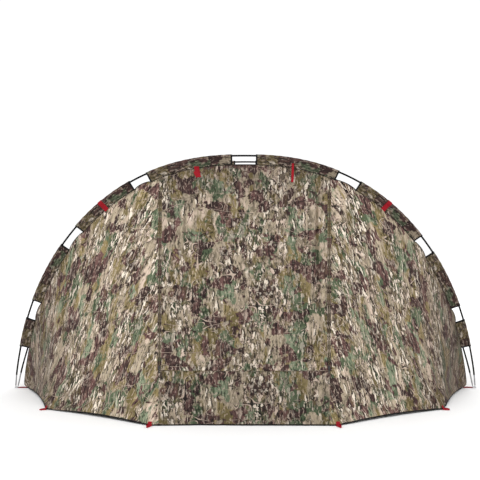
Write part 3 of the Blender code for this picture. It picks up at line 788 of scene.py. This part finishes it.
A, B, sill_P = centre_points(-panel_edge, panel_edge, None, SILL_TOP + 0.016, 90, 32, bottom=True)
sill_N = normals_of(sill_P)
sill_fade = centre_fade(A, B)
pull = sum(rays(sill_P, (s * INNER_PEG[0], FOOT_Y + INNER_PEG[1], HEM_Z), (-s * 0.5, 0.1, 0.8), 0.0060, 10, 0.20, 0.6 * s)
           for s in (-1, 1))
low_side = 1 - smooth(sill_P[..., 2], SILL_TOP - 0.060, SILL_TOP - 0.010)
sill_P = sill_P + sill_N * (centre_relief(sill_P, sill_fade) + pull * sill_fade * low_side)[..., None]
sill_P[..., 2] = np.maximum(sill_P[..., 2], 0.0012)
sill = cloth("door_sill_cloth", sill_P, centre_uv(sill_P), [SILL, INSIDE_MAT])
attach(sill, "front_frame")
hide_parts("door_sill")
sill_tape = binding("door_sill_hem_binding", sill_P, "front_frame", [BINDING])

door_low = front_wall(np.array([0.0]), b_of_z(np.array([0.0]), np.array([SILL_TOP])))[0]
door_high = front_wall(np.array([0.0]), b_of_z(np.array([0.0]), np.array([DOOR_TOP])))[0]
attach(door, "front_frame")
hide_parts("door_panel")

# the door's bottom hem: doubled cloth with a dark edge
A, B, hem_P = centre_points(-door_edge, door_edge, SILL_TOP + 0.002, SILL_TOP + DOOR_HEM_HIGH, 88, 6)
hem_N = normals_of(hem_P)
hem_P = hem_P + hem_N * (centre_relief(hem_P, centre_fade(A, B)) + 0.0024)[..., None]
door_hem = cloth("door_hem_cloth", hem_P, centre_uv(hem_P), [CENTRE, INSIDE_MAT], thickness=0.0020)
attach(door_hem, "door_edge")
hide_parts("door_hem")
hem_tape = binding("door_hem_edge", hem_P, "door_edge", [CENTRE], high=0.0022, thick=0.0026, out=0.0006)

# ------------------------------------------------------------------ roof
def roof_half(word, front):
    """Half of the roof's depth. The two halves meet in the plane midway
    between the hoops, where the cloth folds when they close."""
    s = np.linspace(-0.985, 0.985, 330)
    b = np.linspace(0.0, 0.5, 17) if front else np.linspace(0.5, 1.0, 17)
    A, B = np.meshgrid(s, b)
    P = roof(A, B)
    N = normals_of(P)
    along = np.broadcast_to(s * 2.3, A.shape)
    tall = np.clip(P[..., 2] / 1.3, 0, 1)
    relief = (0.0050 * n1(along * 2.2, B * 3 + 4) + 0.0024 * n2(along * 6, B * 5)) * np.sin(np.pi * B) * tall
    sag = -0.020 * np.sin(np.pi * B) * tall ** 2
    pucker = 0.0012 * np.sin(along * 95) * (np.exp(-B * 16) + np.exp(-(1 - B) * 16)) * smooth(B, 0, 0.02) * smooth(1 - B, 0, 0.02)
    P = P + N * ((relief + sag + pucker)[..., None])
    uv = np.stack((along, -B * 0.85 * np.clip(tall * 1.1, 0.05, 1.0)), -1)
    return s, P, uv


roof_halves = []
for word, front in (("front", True), ("rear", False)):
    s, P, uv = roof_half(word, front)
    for part, low, high in (("left", -1.0, -0.302), ("centre", -0.302, 0.302), ("right", 0.302, 1.0)):
        pick = np.where((s >= low - 0.003) & (s <= high + 0.003))[0]
        Q = P[:, pick]
        obj = cloth(f"roof_{part}_{word}_cloth", Q, uv[:, pick], [ROOF, INSIDE_MAT])
        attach(obj, "front_frame" if front else "rear_frame")
        if front:
            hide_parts(f"roof_{part}_panel")
        roof_halves.append((obj, front))

# ------------------------------------------------------------------ rear wall
rear_items = []
REAR_PARTS = (("left", -0.985, -0.302), ("centre", -0.302, 0.302), ("right", 0.302, 0.985))
for part, low, high in REAR_PARTS:
    a = np.linspace(low, high, 110 if part != "centre" else 100)
    b = np.linspace(0, 1, 100)
    A, B = np.meshgrid(a, b)
    P = rear_wall(A, B)
    N = normals_of(P)
    fade = edge_fade(P, ("top", "left", "right"), 0.05)
    X, Z = P[..., 0], P[..., 2]
    relief = (0.0100 * n1(A * 6 + 7, B * 2.0) + 0.0046 * n2(A * 17 + 2 * B, B * 3.0) + 0.0020 * n4(A * 40, B * 7))
    pegs = 0
    for k, angle in enumerate(REAR_PEG_ANGLES):
        q = math.radians(angle)
        spot = (CORNER_X * math.cos(q), FOOT_Y + REAR_DEPTH * math.sin(q), HEM_Z)
        pegs = pegs + rays(P, spot, (-spot[0] * 0.3, -0.4, 1.0), 0.0125, 12, 0.42, k)
    sag = -0.022 * np.sin(np.pi * B) * (1 - np.abs(A) ** 3)
    P = P + N * (((relief + pegs) * fade * (0.25 + 0.75 * smooth(1 - B, 0, 0.06)) + sag * fade)[..., None])
    P[..., 2] = np.maximum(P[..., 2], 0.0012)
    obj = cloth(f"rear_{part}_cloth", P, uv_of(P, 0.0), [BACK, INSIDE_MAT])
    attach(obj, "rear_frame")
    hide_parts(f"rear_{part}_panel")
    tape = binding(f"rear_{part}_hem_binding", P, "rear_frame", [BINDING])
    rear_items += [obj, tape]


for side, word in ((-1, "left"), (1, "right")):
    b = np.linspace(0.002, 0.998, 90)
    a = np.full(90, side * 0.302)
    line = rear_wall(a, b)
    beside = rear_wall(a + 0.004, b)
    face = unit(np.cross(beside - line, np.gradient(line, axis=0)))
    face = face * np.where(((line - INSIDE) * face).sum(-1, keepdims=True) > 0, 1, -1)
    line = line + face * (0.0014 + 0.0003 * np.sin(np.arange(90) * 2.1))[:, None]
    obj = ribbon(f"rear_{word}_felled_seam", line, unit(beside - line), 0.013, 0.0012, [BACK])
    obj.data.uv_layers.active.name = "cloth"
    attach(obj, "rear_frame")
    rear_items.append(obj)


# ------------------------------------------------------------------ sleeves
def hash_of(name):
    return sum(ord(c) * (i + 1) for i, c in enumerate(name)) % 97


def sleeve(hoop, name, low, high, body):
    start, end = hoop.length * (low + 1) / 2, hoop.length * (high + 1) / 2
    steps = max(12, int((end - start) / 0.010))
    along = np.linspace(start, end, steps + 1)
    middle, run, inward = hoop.frame(along)
    side = unit(np.cross(run, inward))
    turn = math.asin(0.0016 / SLEEVE_R)
    depth = SEAM_DEPTH + 0.0015
    outline = [(d, 0.0013 if d > 0.02 else 0.0017) for d in (depth, 0.046, 0.036, 0.026, 0.016)]
    outline += [(0.0125, 0.0022)]
    outline += [(math.cos(q) * SLEEVE_R, math.sin(q) * SLEEVE_R)
                for q in np.linspace(turn + 0.35, 2 * math.pi - turn - 0.35, 13)]
    outline += [(d, -h) for d, h in outline[5::-1]]
    rows = np.array(outline)
    wave = 0.0016 * n3(along * 14 + hash_of(name), along * 0 + 3.3) + 0.0009 * n4(along * 37, along * 0 + 1.2)
    ends = smooth(np.minimum(along - start, end - along), 0, 0.03)
    P = np.empty((len(rows), len(along), 3))
    for i, (d, h) in enumerate(rows):
        fin = smooth(d, 0.010, 0.03) * (1 - smooth(d, 0.045, depth))
        scallop = 0.0012 * np.sin(along * 120 + i) * (d < 0.0)
        P[i] = (middle + inward * (d + scallop * 0.5)[:, None]
                + side * (h + wave * fin * ends)[:, None])
    around = np.concatenate(([0], np.cumsum(np.linalg.norm(np.diff(rows, axis=0), axis=1))))
    uv = np.stack(np.meshgrid(along - start, around), -1)
    faces_index = np.zeros((len(rows) - 1, len(along) - 1), int)
    edge = (along[:-1] - start < 0.009) | (end - along[1:] < 0.009)
    faces_index[:, edge] = 1
    obj = new_object(name, P.reshape(-1, 3), grid_faces(len(rows), len(along)), [SLEEVE, BINDING],
                     uv=uv.reshape(-1, 2), index=faces_index.reshape(-1))
    bm = bmesh.new()
    bm.from_mesh(obj.data)
    bmesh.ops.recalc_face_normals(bm, faces=bm.faces)
    bm.to_mesh(obj.data)
    bm.free()
    solid = obj.modifiers.new("thickness", "SOLIDIFY")
    solid.thickness, solid.offset, solid.use_even_offset = 0.0009, 0.0, False
    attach(obj, body)
    return obj


def sleeves(prefix, hoop, gaps, body):
    edges = [-SLEEVE_END] + [x for gap in gaps for x in gap] + [SLEEVE_END]
    runs = list(zip(edges[::2], edges[1::2]))
    for i, (low, high) in enumerate(runs):
        half = len(runs) // 2
        side, number = ("left", i + 1) if i < half else ("right", len(runs) - i)
        obj = sleeve(hoop, f"{prefix}_sleeve_{side}_{number}_cloth", low, high, body)
        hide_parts(f"{prefix}_sleeve_{side}_{number}")


sleeves("front", front_hoop, FRONT_GAPS, "front_frame")
sleeves("rear", rear_hoop, REAR_GAPS, "rear_frame")

# ------------------------------------------------------------------ poles and tips
def pole(prefix, hoop, part, start, end, body, collar):
    along = np.linspace(start, end, max(8, int((end - start) / 0.018)))
    r = np.full(len(along), POLE_R)
    if collar:
        edge = end - FERRULE_LEN
        along = np.concatenate((along[along < edge - 0.002], [edge, edge + 0.0015], np.linspace(edge + 0.01, end, 5)))
        r = np.where(along > edge + 0.001, FERRULE_R, POLE_R)
    obj = tube(f"{prefix}_pole_{part}_bar", hoop.at(along), r, [POLE], 14)
    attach(obj, body)
    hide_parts(f"{prefix}_pole_{part}")


def tip(prefix, hoop, side, body):
    first = TIP_START + TIP_LEN
    profile = ((0.0, 0.0012), (0.0008, 0.0023), (0.010, 0.0034), (0.012, 0.0045), (0.060, 0.0045),
               (0.0604, 0.0041), (0.0616, 0.0041), (0.062, 0.0046), (0.066, 0.0046), (0.0664, 0.0041),
               (0.0676, 0.0041), (0.068, 0.0046), (0.0805, 0.0046), (0.081, 0.0050), (0.0877, 0.0050))
    along = np.array([TIP_START + s for s, _ in profile])
    if side > 0:
        along = hoop.length - along
    obj = tube(f"{prefix}_tip_{'left' if side < 0 else 'right'}_ferrule", hoop.at(along),
               [r for _, r in profile], [STEEL], 16)
    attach(obj, body)
    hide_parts(f"{prefix}_pole_tip_{'left' if side < 0 else 'right'}")


for prefix, hoop, joints, names, body in (
        ("front", front_hoop, FRONT_JOINTS, ("left_lower", "left_upper", "crown", "right_upper", "right_lower"), "front_frame"),
        ("rear", rear_hoop, REAR_JOINTS, ("left", "crown", "right"), "rear_frame")):
    first = TIP_START + TIP_LEN
    stops = [first] + [hoop.length * (s + 1) / 2 for s in joints] + [hoop.length - first]
    for i, part in enumerate(names):
        pole(prefix, hoop, part, stops[i] + 0.0003, stops[i + 1], body, i < len(names) - 1)
    tip(prefix, hoop, -1, body)
    tip(prefix, hoop, 1, body)

# ------------------------------------------------------------------ seam piping along the arches
for prefix, seam, body in (("front", front_seam, "front_frame"), ("rear", rear_seam, "rear_frame")):
    s = np.linspace(-0.985, 0.985, 420)
    obj = tube(f"{prefix}_seam_piping", seam.share(s), 0.0024, [PIPING], 8)
    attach(obj, body)

# ------------------------------------------------------------------ red webbing
def peg_loop(node, place, away, body, reach=0.042, high=0.0125):
    """Webbing on edge: from the hem out round the peg's place and back."""
    away = unit(np.array((away[0], away[1], 0.0)))
    over = np.array((-away[1], away[0], 0.0))
    spot = np.array((place[0], place[1], 0.0))
    t = np.linspace(-1, 1, 41)
    out = reach * (1 - np.abs(t) ** 2.2)
    wide = 0.0125 * np.sign(t) * np.abs(t) ** 0.75 * (0.55 + 0.45 * np.abs(t))
    path = spot + away * out[:, None] + over * wide[:, None]
    path[:, 2] = 0.0008 + high / 2
    obj = ribbon(node + "_tape", path, (0, 0, 1), high, 0.0016, [RED])
    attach(obj, body)
    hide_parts(node)
    foot = np.linspace(0, 1, 8)
    patch = spot - away * 0.001 + np.array((0, 0, 0.0))
    rise = np.array([patch + away * 0.006 * (1 - f) + np.array((0, 0, 0.003 + 0.020 * f)) - away * 0.007 * f for f in foot])
    tab = ribbon(node + "_patch", rise, over, 0.022, 0.0016, [RED])
    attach(tab, body)
    return [obj, tab]


for side, word in ((-1, "left"), (1, "right")):
    peg_loop(f"front_{word}_inner_peg_loop", (side * INNER_PEG[0], FOOT_Y + INNER_PEG[1] - 0.004),
             (side * 0.25, -1.0), "front_frame")
    peg_loop(f"front_{word}_outer_peg_loop", (side * (OUTER_PEG[0] + 0.003), FOOT_Y + OUTER_PEG[1] - 0.002),
             (side * 1.0, -0.55), "front_frame",
             0.036, 0.0070 if side < 0 else 0.0100)
for angle in REAR_PEG_ANGLES:
    q = math.radians(angle)
    place = (CORNER_X * math.cos(q), FOOT_Y + REAR_DEPTH * math.sin(q))
    away = (math.cos(q) / CORNER_X, math.sin(q) / REAR_DEPTH)
    word = "right" if angle < 90 else "left"
    which = "outer" if abs(angle - 90) > 30 else "inner"
    rear_items += peg_loop(f"rear_{word}_{which}_peg_loop", place, away, "rear_frame")

for side, word in ((-1, "left"), (1, "right")):
    # corner strap: from the cloth corner to the foot ring, doubled round the ring
    x0, x1 = side * (CORNER_X - 0.012), side * (HOOP_HALF - 0.018)
    xs = np.linspace(0, 1, 20)
    path = np.stack((x0 + (x1 - x0) * xs, np.full(20, FOOT_Y), 0.0032 + 0.0018 * np.sin(np.pi * xs)), -1)
    back = path[::-1].copy()
    back[:, 2] = 0.0014
    bend = [np.array((x1 + side * 0.004 * math.sin(q), FOOT_Y, 0.0023 + 0.0014 * math.cos(q))) for q in np.linspace(0.4, 2.7, 6)]
    strap = ribbon(f"{word}_corner_strap", np.concatenate((path, bend, back)), (0, 1, 0), 0.018, 0.0013, [RED])
    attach(strap, "front_frame")
    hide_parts(f"{word}_foot_strap")
    q = np.linspace(0, 2 * np.pi, 41)[:-1]
    k = np.linspace(0, 2 * np.pi, 11)[:-1]
    centre = np.array((side * (HOOP_HALF - 0.007), FOOT_Y, 0.0040))
    ring = np.array([[centre + np.array((math.cos(a) * (0.0130 + 0.0017 * math.cos(b)), math.sin(a) * (0.0130 + 0.0017 * math.cos(b)),
                                         0.0017 * math.sin(b))) for b in k] for a in q])
    faces = [(i * 10 + j, i * 10 + (j + 1) % 10, ((i + 1) % 40) * 10 + (j + 1) % 10, ((i + 1) % 40) * 10 + j)
             for i in range(40) for j in range(10)]
    obj = new_object(f"{word}_ring", ring.reshape(-1, 3), faces, [STEEL])
    bm = bmesh.new()
    bm.from_mesh(obj.data)
    bmesh.ops.recalc_face_normals(bm, faces=bm.faces)
    bm.to_mesh(obj.data)
    bm.free()
    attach(obj, "front_frame")
    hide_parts(f"{word}_foot_ring")

for side, word in ((-1, "left"), (1, "right")):
    # ties for the rolled door, sewn on over the arch seam
    a = np.array([side * PEG_SHARE * 0.288 / DOOR_ARCH_X])
    top = front_wall(a, np.array([0.0]))[0]
    low = front_wall(a, b_of_z(a, np.array([top[2] - (0.058 if side < 0 else 0.088)])))[0]
    n = unit(np.cross(unit(top - low), (1, 0, 0)))
    n = n if n[1] < 0 else -n
    start = top + front_hoop.up * (0.012 if side < 0 else 0.030) + front_hoop.normal * 0.0055
    f = np.linspace(0, 1, 26)[:, None]
    drift = np.array((0.012 if side < 0 else -0.003, 0, 0))
    path = np.concatenate((start + (top + n * 0.0060 - start) * np.linspace(0, 1, 6)[:-1, None],
                           top + (low - top) * f + n * (0.0060 + 0.0040 * np.sin(np.pi * f)) + drift * f))
    if side < 0:
        # doubled back on itself, with the loose end a little askew
        back = path[::-1][:16] + n * (0.0045 + 0.0030 * np.sin(np.pi * np.linspace(0, 1, 16)))[:, None]
        back[:, 0] -= np.linspace(0, 0.010, 16)
        path = np.concatenate((path, back))
    else:
        path[-5:] += n * 0.004 * np.linspace(0, 1, 5)[:, None]
    obj = ribbon(f"door_tie_{word}_strap", path, (1, 0, 0), 0.030 if side < 0 else 0.014, 0.0016, [RED])
    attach(obj, "front_frame")
    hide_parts(f"door_tie_{word}")
    # straps over the sleeves
    middle, run, inward = front_hoop.frame(np.array([front_hoop.length * (0.5 + side * 0.1975)]))
    middle, run, inward = middle[0], run[0], inward[0]
    face = unit(front_hoop.normal)
    line = [middle + inward * d + face * h for d, h in
            ((0.060, 0.0042), (0.052, 0.0036), (0.040, 0.0036), (0.028, 0.0038), (0.018, 0.0052), (0.010, 0.0082),
             (0.004, 0.0100), (-0.004, 0.0098), (-0.0085, 0.0062), (-0.0106, 0.0), (-0.0085, -0.0062),
             (-0.004, -0.0098), (0.004, -0.0100), (0.010, -0.0082), (0.018, -0.0052), (0.028, -0.0038))]
    obj = ribbon(f"sleeve_tab_{word}_strap", np.array(line), run, 0.030, 0.0015, [RED])
    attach(obj, "front_frame")
    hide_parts(f"sleeve_tab_{word}")


# ------------------------------------------------------------------ zips
def strip_on_wall(name, a_low, a_high, z_low, z_high, lift, thick, material, rows=60):
    A, B, P = centre_points(a_low, a_high, z_low, z_high, 3, rows)
    N = normals_of(P)
    P = P + N * lift
    S = np.stack([P[:, 0] + N[:, 0] * thick / 2, P[:, 1] + N[:, 1] * thick / 2, P[:, 2] + N[:, 2] * thick / 2,
                  P[:, 2] - N[:, 2] * thick / 2, P[:, 1] - N[:, 1] * thick / 2, P[:, 0] - N[:, 0] * thick / 2], 1)
    return sweep(name, S, [material])


def teeth(name, side, inner, z_low, z_high, lift):
    """One half of a zip's teeth: small rounded blocks along the tape's edge."""
    a0 = side * (zip_a + (-0.0009 if inner else 0.0009) / unit_a)
    z = np.arange(z_low, z_high, 0.0042) + (0.0021 if inner else 0.0)
    a = np.full(len(z), a0)
    P = front_wall(a, b_of_z(a, z))
    run = unit(P[-1] - P[0])
    face = unit(np.cross(run, (1, 0, 0)))
    face = face if face[1] < 0 else -face
    over = np.cross(run, face)
    verts, faces = [], []
    for p in P + face * lift:
        base = len(verts)
        for dz, half, h in ((-0.0013, 0.0014, 0.0007), (-0.0009, 0.0019, 0.0013), (0.0009, 0.0019, 0.0013), (0.0013, 0.0014, 0.0007)):
            for sx, sy in ((-1, -1), (1, -1), (1, 1), (-1, 1)):
                verts.append(p + run * dz + over * half * sx + face * h * sy)
        for k in range(3):
            for j in range(4):
                faces.append((base + k * 4 + j, base + k * 4 + (j + 1) % 4, base + k * 4 + 4 + (j + 1) % 4, base + k * 4 + 4 + j))
        faces.append((base + 3, base + 2, base + 1, base))
        faces.append((base + 12, base + 13, base + 14, base + 15))
    obj = new_object(name, verts, faces, [ZIPPER], smooth_on=False)
    bm = bmesh.new()
    bm.from_mesh(obj.data)
    bmesh.ops.recalc_face_normals(bm, faces=bm.faces)
    bm.to_mesh(obj.data)
    bm.free()
    return obj


door_with = []
for side, word in ((-1, "left"), (1, "right")):
    z0, z1 = SILL_TOP + 0.004, DOOR_TOP - 0.004
    w = 0.010 / unit_a
    outer = strip_on_wall(f"{word}_zip_tape_outer", side * (zip_a + 0.0004), side * (zip_a + 0.0004 + w), z0, z1, 0.0012, 0.0008, CENTRE)
    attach(outer, "front_frame")
    outer_teeth = teeth(f"{word}_zip_teeth_outer", side, False, z0, z1, 0.0022)
    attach(outer_teeth, "front_frame")
    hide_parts(f"{word}_zip_track")
    inner = strip_on_wall(f"{word}_zip_tape_inner", side * (zip_a - 0.0004 - w), side * (zip_a - 0.0004), z0 + 0.022, z1, 0.0012, 0.0008, CENTRE)
    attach(inner, "front_frame")
    inner_teeth = teeth(f"{word}_zip_teeth_inner", side, True, z0 + 0.022, z1, 0.0022)
    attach(inner_teeth, "front_frame")
    door_with += [inner, inner_teeth]

for obj in (door, *door_with):
    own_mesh(obj)

for obj, front in roof_halves:
    hoop = front_hoop if front else rear_hoop
    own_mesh(obj)
for obj in rear_items:
    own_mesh(obj)

# ------------------------------------------------------------------ carried-over CAD pieces
for node in ("left_zip_slider", "right_zip_slider", "left_zip_pull", "right_zip_pull"):
    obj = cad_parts[node]
    obj.data.materials.clear()
    obj.data.materials.append(SLIDER)

# ------------------------------------------------------------------ floor and light
ground = new_object("floor", [(-60, -60, 0), (60, -60, 0), (60, 60, 0), (-60, 60, 0)], [(0, 1, 2, 3)],
                    [plain("floor_pale", (0.955, 0.955, 0.955), (0.965, 0.965, 0.965), 0.9, 0.0, 3.0, 0.0)])
ground.location.z = -0.0006

world = bpy.data.worlds.new("studio")
scene.world = world
world.use_nodes = True
world.node_tree.nodes["Background"].inputs["Color"].default_value = (1, 1, 1, 1)
world.node_tree.nodes["Background"].inputs["Strength"].default_value = 1.06


def lamp(name, place, target, size, power):
    data = bpy.data.lights.new(name, "AREA")
    data.shape, data.size, data.size_y, data.energy = "RECTANGLE", size[0], size[1], power
    obj = bpy.data.objects.new(name, data)
    scene.collection.objects.link(obj)
    obj.location = place
    obj.rotation_euler = (Vector(target) - Vector(place)).to_track_quat("-Z", "Y").to_euler()


lamp("key", (-2.8, -6.0, 6.0), (0, -0.4, 0.6), (4, 3), 140)
lamp("fill", (4.5, -5.0, 3.5), (0, -0.4, 0.6), (4, 4), 45)
lamp("back", (2.0, 5.5, 5.5), (0, 0.2, 0.6), (4, 3), 110)
scene.view_settings.view_transform = "Standard"
scene.view_settings.look = "None"
